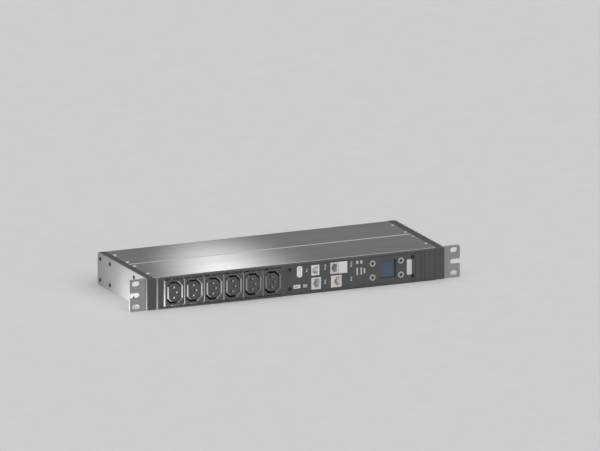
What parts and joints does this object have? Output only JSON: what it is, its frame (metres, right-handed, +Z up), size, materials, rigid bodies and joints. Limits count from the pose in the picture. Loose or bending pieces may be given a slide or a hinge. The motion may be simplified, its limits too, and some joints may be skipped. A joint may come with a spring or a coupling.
{
  "type": "rack power distribution unit",
  "caption": "Flat rack-mount power strip: brushed housing, slotted ears, row of socket outlets, and a control panel with jacks, ports, status lights, a small display and menu buttons.",
  "frame": {"origin": "the middle of the rack slots, on the rear face of the ears, which meets the rack", "axes": "+X to the viewer's right along the unit, +Y from the front to the rear, +Z up"},
  "size_m": [0.4826, 0.1698, 0.0445],
  "materials": {
    "brushed_aluminium": "brushed along the length",
    "satin_metal": "fine satin",
    "dark_end": "fine matte",
    "front_grey": "fine matte",
    "outlet_grey": "fine matte",
    "tinned_strip": "tinned",
    "board": "lacquered",
    "light_screw": "plated",
    "dark_screw": "black",
    "pale_jack": "moulded",
    "grey_jack": "moulded",
    "slate_jack": "moulded",
    "white_jack": "moulded",
    "insert_grey": "moulded",
    "port_metal": "plated",
    "port_white": "moulded",
    "light_window": "clear diffusing",
    "button_grey": "fine matte",
    "button_pale": "fine matte",
    "ring_grey": "fine matte",
    "switch_black": "moulded",
    "display_pane": "clear",
    "display_field": "flat panel",
    "badge_white": "bare",
    "label_white": "bare",
    "inlet_black": "moulded",
    "pin_metal": "plated",
    "module_black": "potted",
    "terminal_green": "moulded",
    "wire_jacket": "insulated",
    "flat_cable": "insulated"
  },
  "bodies": {
    "housing": {"right_bracket": "satin_metal", "left_bracket": "satin_metal", "right_end_cap": "dark_end", "left_end_cap": "dark_end", "right_side_screws": "dark_screw", "left_side_screws": "dark_screw", "front_profile": "brushed_aluminium", "rear_profile": "brushed_aluminium", "top_screws": "light_screw", "front_bezel": "front_grey", "blank_cover": "front_grey", "line_busbar": "tinned_strip", "neutral_busbar": "tinned_strip", "earth_busbar": "tinned_strip", "control_faceplate": "front_grey", "faceplate_screws": "dark_screw", "control_board": "board", "control_board_screws": "light_screw", "serial_jack": "pale_jack", "sensor_jack": "grey_jack", "upper_network_jack": "slate_jack", "lower_network_jack": "white_jack", "contact_inserts": "insert_grey", "data_port_shell": "port_metal", "port_tongues": "port_white", "service_port": "port_metal", "status_lights": "light_window", "button_rings": "ring_grey", "button_switches": "switch_black", "display_glass": "display_pane", "display_module": "display_field", "display_holder": "switch_black", "blank_badge": "badge_white", "blank_label": "label_white", "inlet_housing": "inlet_black", "inlet_pins": "pin_metal", "inlet_screws": "light_screw", "power_board": "board", "board_standoffs": "light_screw", "power_board_screws": "light_screw", "supply_module": "module_black", "current_sensor": "module_black", "input_terminals": "terminal_green", "output_terminals": "terminal_green", "supply_wires": "wire_jacket", "outlet_wires": "wire_jacket", "link_cable": "flat_cable", "outlet_1": "outlet_grey", "outlet_2": "outlet_grey", "outlet_3": "outlet_grey", "outlet_4": "outlet_grey", "outlet_5": "outlet_grey", "outlet_6": "outlet_grey"},
    "menu_button_1": {"menu_button_1": "button_grey"},
    "menu_button_2": {"menu_button_2": "button_grey"},
    "menu_button_3": {"menu_button_3": "button_grey"},
    "menu_button_4": {"menu_button_4": "button_grey"},
    "reset_button": {"reset_button": "button_pale"}
  },
  "joints": [
    {"name": "menu_button_1_press", "type": "slide", "parent": "housing", "child": "menu_button_1", "axis": [0, 1, 0], "range_m": [0, 0.0005], "stiffness_N_per_m": 400},
    {"name": "menu_button_2_press", "type": "slide", "parent": "housing", "child": "menu_button_2", "axis": [0, 1, 0], "range_m": [0, 0.0005], "stiffness_N_per_m": 400},
    {"name": "menu_button_3_press", "type": "slide", "parent": "housing", "child": "menu_button_3", "axis": [0, 1, 0], "range_m": [0, 0.0005], "stiffness_N_per_m": 400},
    {"name": "menu_button_4_press", "type": "slide", "parent": "housing", "child": "menu_button_4", "axis": [0, 1, 0], "range_m": [0, 0.0005], "stiffness_N_per_m": 400},
    {"name": "reset_button_press", "type": "slide", "parent": "housing", "child": "reset_button", "axis": [0, 1, 0], "range_m": [0, 0.0005], "stiffness_N_per_m": 400}
  ]
}
